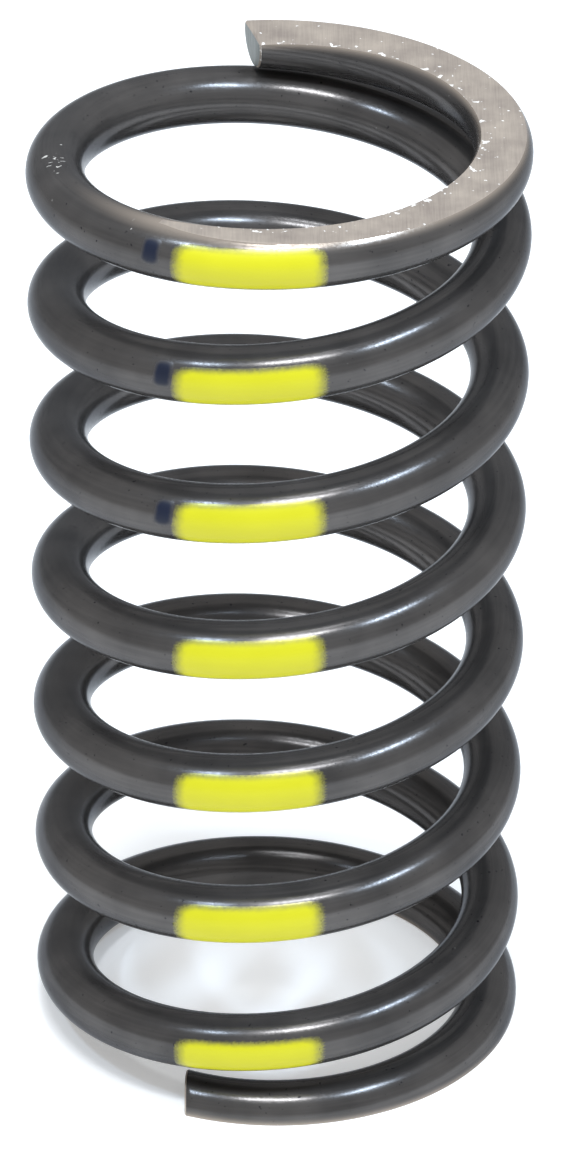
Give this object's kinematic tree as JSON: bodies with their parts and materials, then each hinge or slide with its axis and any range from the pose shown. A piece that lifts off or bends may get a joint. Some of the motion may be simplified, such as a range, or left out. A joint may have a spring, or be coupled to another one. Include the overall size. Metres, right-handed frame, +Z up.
{
  "type": "coil spring",
  "caption": "Helical compression spring of round steel wire with closed, ground ends and yellow paint marks down one side; its coils close up when loaded.",
  "frame": {"origin": "on the spring's axis, in the plane of the lower ground face", "axes": "+Z runs up the spring's axis from the lower to the upper ground face; -Y is the side that the paint marks face"},
  "size_m": [0.0784, 0.0784, 0.158],
  "materials": {
    "spring_steel": "oil-tempered wire, dark grey, semi-gloss, with bare ground ends",
    "yellow_paint": "thin sprayed colour-code paint, satin",
    "blue_paint": "thin dabbed colour-code paint, satin"
  },
  "bodies": {
    "lower_end": {"lower_end_coil": "spring_steel", "coil_1_front": "spring_steel", "yellow_mark_1": "yellow_paint"},
    "coil_1_rear_turn": {"coil_1_rear": "spring_steel"},
    "coil_2_front_turn": {"coil_2_front": "spring_steel", "yellow_mark_2": "yellow_paint"},
    "coil_2_rear_turn": {"coil_2_rear": "spring_steel"},
    "coil_3_front_turn": {"coil_3_front": "spring_steel", "yellow_mark_3": "yellow_paint"},
    "coil_3_rear_turn": {"coil_3_rear": "spring_steel"},
    "coil_4_front_turn": {"coil_4_front": "spring_steel", "yellow_mark_4": "yellow_paint"},
    "coil_4_rear_turn": {"coil_4_rear": "spring_steel"},
    "coil_5_front_turn": {"coil_5_front": "spring_steel", "yellow_mark_5": "yellow_paint", "blue_mark_5": "blue_paint"},
    "coil_5_rear_turn": {"coil_5_rear": "spring_steel"},
    "coil_6_front_turn": {"coil_6_front": "spring_steel", "yellow_mark_6": "yellow_paint", "blue_mark_6": "blue_paint"},
    "upper_end": {"coil_6_rear": "spring_steel", "upper_end_coil": "spring_steel", "yellow_mark_7": "yellow_paint", "blue_mark_7": "blue_paint"}
  },
  "joints": [
    {"name": "compression", "type": "slide", "parent": "lower_end", "child": "upper_end", "axis": [0, 0, 1], "range_m": [-0.063, 0], "stiffness_N_per_m": 38000},
    {"name": "coil_1_rear_drop", "type": "slide", "parent": "lower_end", "child": "coil_1_rear_turn", "axis": [0, 0, 1], "range_m": [-0.00335, 0.0002]},
    {"name": "coil_2_front_drop", "type": "slide", "parent": "lower_end", "child": "coil_2_front_turn", "axis": [0, 0, 1], "range_m": [-0.00965, 0.0002]},
    {"name": "coil_2_rear_drop", "type": "slide", "parent": "lower_end", "child": "coil_2_rear_turn", "axis": [0, 0, 1], "range_m": [-0.01595, 0.0002]},
    {"name": "coil_3_front_drop", "type": "slide", "parent": "lower_end", "child": "coil_3_front_turn", "axis": [0, 0, 1], "range_m": [-0.02225, 0.0002]},
    {"name": "coil_3_rear_drop", "type": "slide", "parent": "lower_end", "child": "coil_3_rear_turn", "axis": [0, 0, 1], "range_m": [-0.02855, 0.0002]},
    {"name": "coil_4_front_drop", "type": "slide", "parent": "lower_end", "child": "coil_4_front_turn", "axis": [0, 0, 1], "range_m": [-0.03485, 0.0002]},
    {"name": "coil_4_rear_drop", "type": "slide", "parent": "lower_end", "child": "coil_4_rear_turn", "axis": [0, 0, 1], "range_m": [-0.04115, 0.0002]},
    {"name": "coil_5_front_drop", "type": "slide", "parent": "lower_end", "child": "coil_5_front_turn", "axis": [0, 0, 1], "range_m": [-0.04745, 0.0002]},
    {"name": "coil_5_rear_drop", "type": "slide", "parent": "lower_end", "child": "coil_5_rear_turn", "axis": [0, 0, 1], "range_m": [-0.05375, 0.0002]},
    {"name": "coil_6_front_drop", "type": "slide", "parent": "lower_end", "child": "coil_6_front_turn", "axis": [0, 0, 1], "range_m": [-0.06005, 0.0002]}
  ],
  "couplings": [
    {"joint": "coil_1_rear_drop", "follows": "compression", "ratio": 0.05},
    {"joint": "coil_2_front_drop", "follows": "compression", "ratio": 0.15},
    {"joint": "coil_2_rear_drop", "follows": "compression", "ratio": 0.25},
    {"joint": "coil_3_front_drop", "follows": "compression", "ratio": 0.35},
    {"joint": "coil_3_rear_drop", "follows": "compression", "ratio": 0.45},
    {"joint": "coil_4_front_drop", "follows": "compression", "ratio": 0.55},
    {"joint": "coil_4_rear_drop", "follows": "compression", "ratio": 0.65},
    {"joint": "coil_5_front_drop", "follows": "compression", "ratio": 0.75},
    {"joint": "coil_5_rear_drop", "follows": "compression", "ratio": 0.85},
    {"joint": "coil_6_front_drop", "follows": "compression", "ratio": 0.95}
  ]
}
